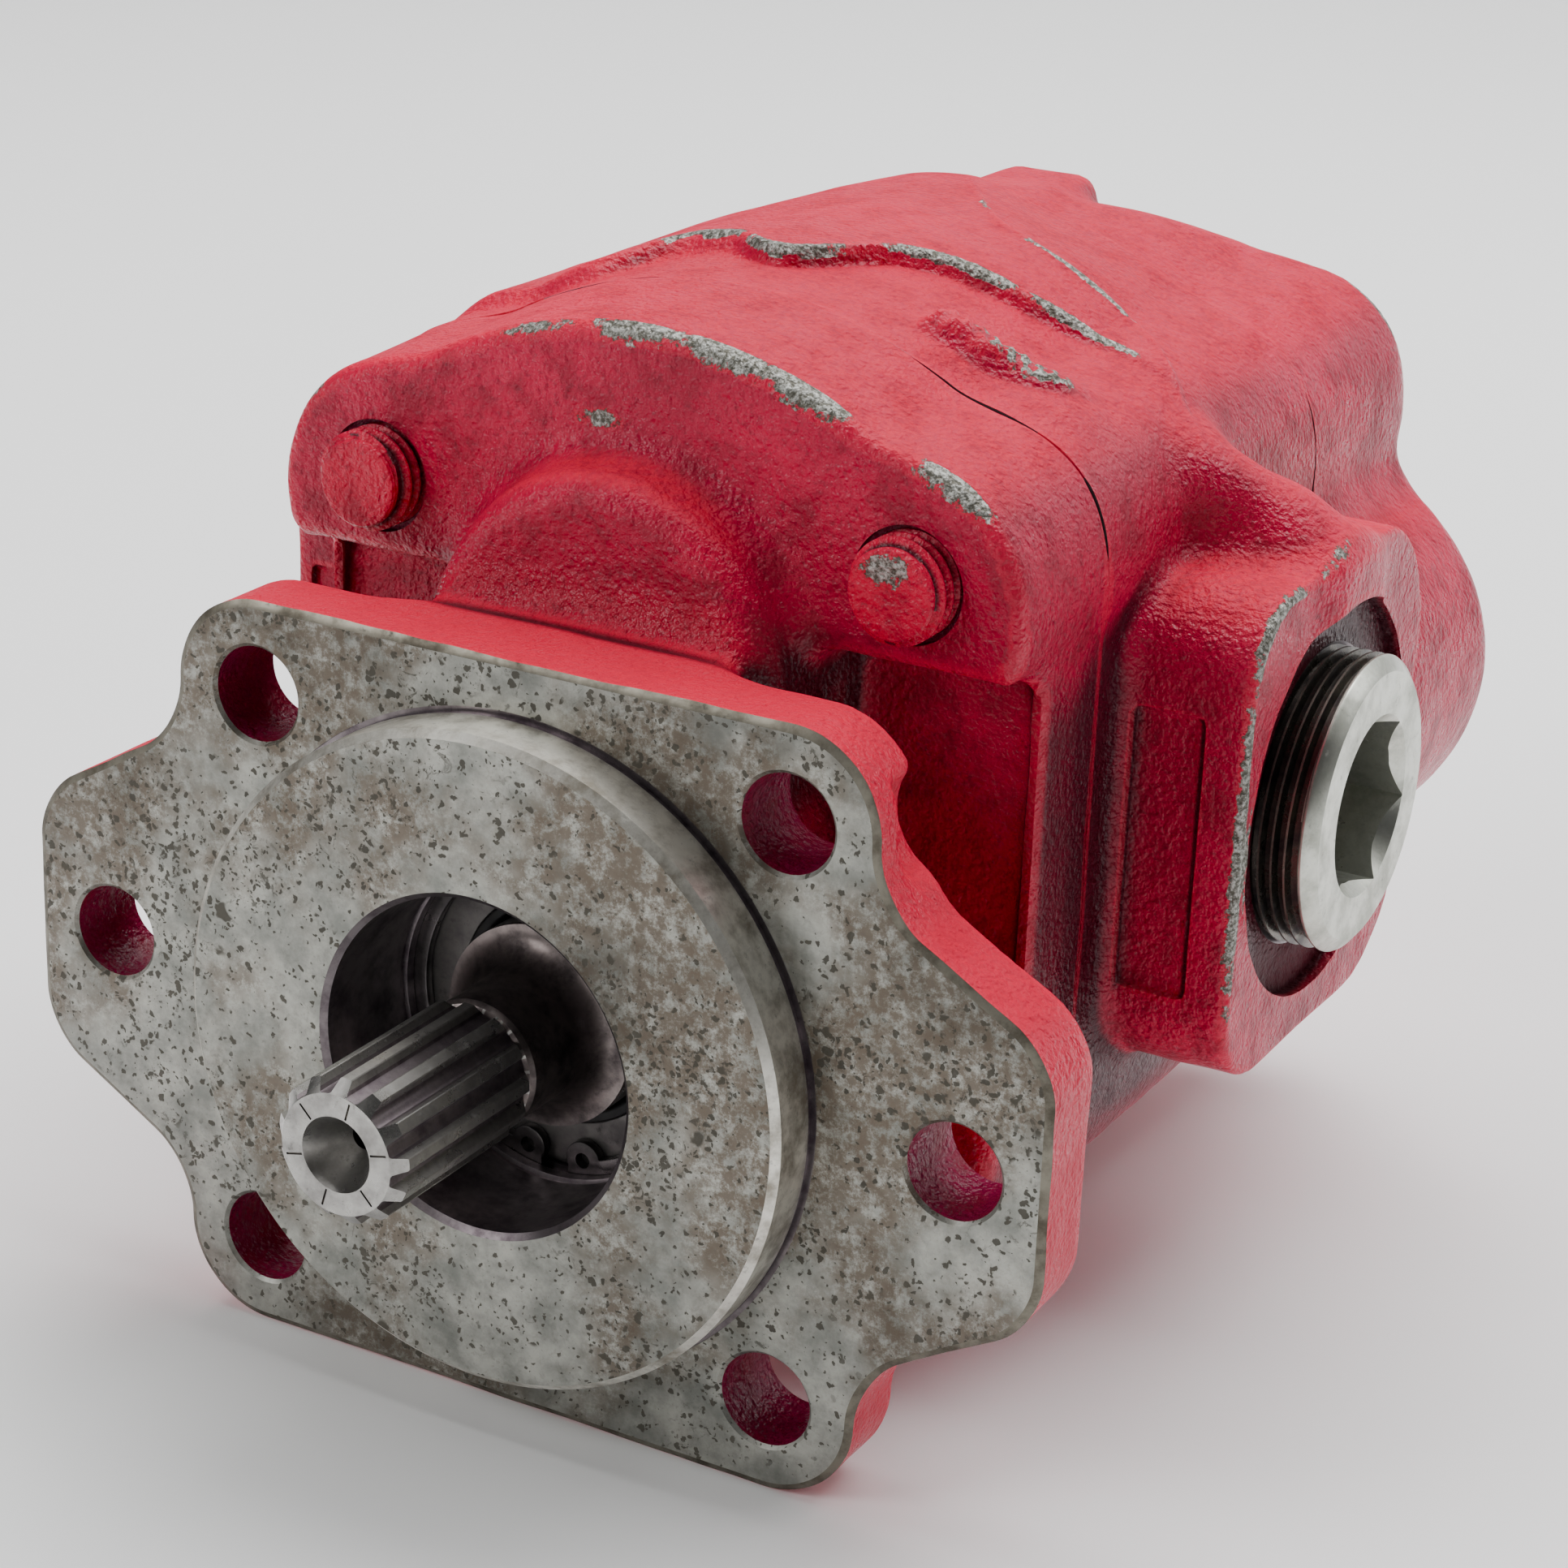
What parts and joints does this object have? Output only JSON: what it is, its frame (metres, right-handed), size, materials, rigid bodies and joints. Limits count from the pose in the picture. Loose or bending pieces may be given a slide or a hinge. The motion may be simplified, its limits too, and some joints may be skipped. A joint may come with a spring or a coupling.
{
  "type": "hydraulic gear pump",
  "caption": "External gear pump: bolt-flanged front cover with splined drive shaft, gear housing with side ports and rear cover, held by tie bolts; one port is plugged.",
  "frame": {"origin": "centre of the mounting pilot at the flange's mounting face", "axes": "-Y points along the drive shaft out of the mounting face, +Y runs back along the body, +Z points from the drive gear to the driven gear above it"},
  "size_m": [0.1793, 0.2305, 0.1648],
  "materials": {
    "red_casting": "satin red enamel on sand-cast iron, bare machined mounting face",
    "shaft_steel": "ground and worn steel",
    "bearing_bronze": "sintered bronze",
    "plate_bronze": "ground bronze face",
    "seal_rubber": "matt black",
    "seal_steel": "oily pressed steel",
    "ring_steel": "blackened spring steel",
    "red_bolts": "gloss red paint over steel threads",
    "plug_zinc": "dull zinc plate, oily threads"
  },
  "bodies": {
    "casing": {"front_cover": "red_casting", "gear_housing": "red_casting", "rear_cover": "red_casting", "front_drive_bushing": "bearing_bronze", "front_driven_bushing": "bearing_bronze", "rear_drive_bushing": "bearing_bronze", "rear_driven_bushing": "bearing_bronze", "front_thrust_plate": "plate_bronze", "rear_thrust_plate": "plate_bronze", "front_plate_seal": "seal_rubber", "rear_plate_seal": "seal_rubber", "front_body_seal": "seal_rubber", "rear_body_seal": "seal_rubber", "shaft_seal_case": "seal_steel", "shaft_seal_lip": "seal_rubber", "seal_garter_spring": "seal_steel", "retaining_ring": "ring_steel", "front_dowel_pins": "shaft_steel", "rear_dowel_pins": "shaft_steel", "tie_bolts": "red_bolts", "bolt_washers": "red_bolts", "port_plug": "plug_zinc", "plug_seal": "seal_rubber"},
    "drive_shaft": {"drive_gear_shaft": "shaft_steel"},
    "driven_shaft": {"driven_gear_shaft": "shaft_steel"}
  },
  "joints": [
    {"name": "drive_spin", "type": "hinge", "parent": "casing", "child": "drive_shaft", "pos_m": [0, 0, 0], "axis": [0, 1, 0], "continuous": true},
    {"name": "driven_spin", "type": "hinge", "parent": "casing", "child": "driven_shaft", "pos_m": [0, 0, 0.0508], "axis": [0, 1, 0], "continuous": true}
  ],
  "couplings": [
    {"joint": "driven_spin", "follows": "drive_spin", "ratio": -1}
  ]
}
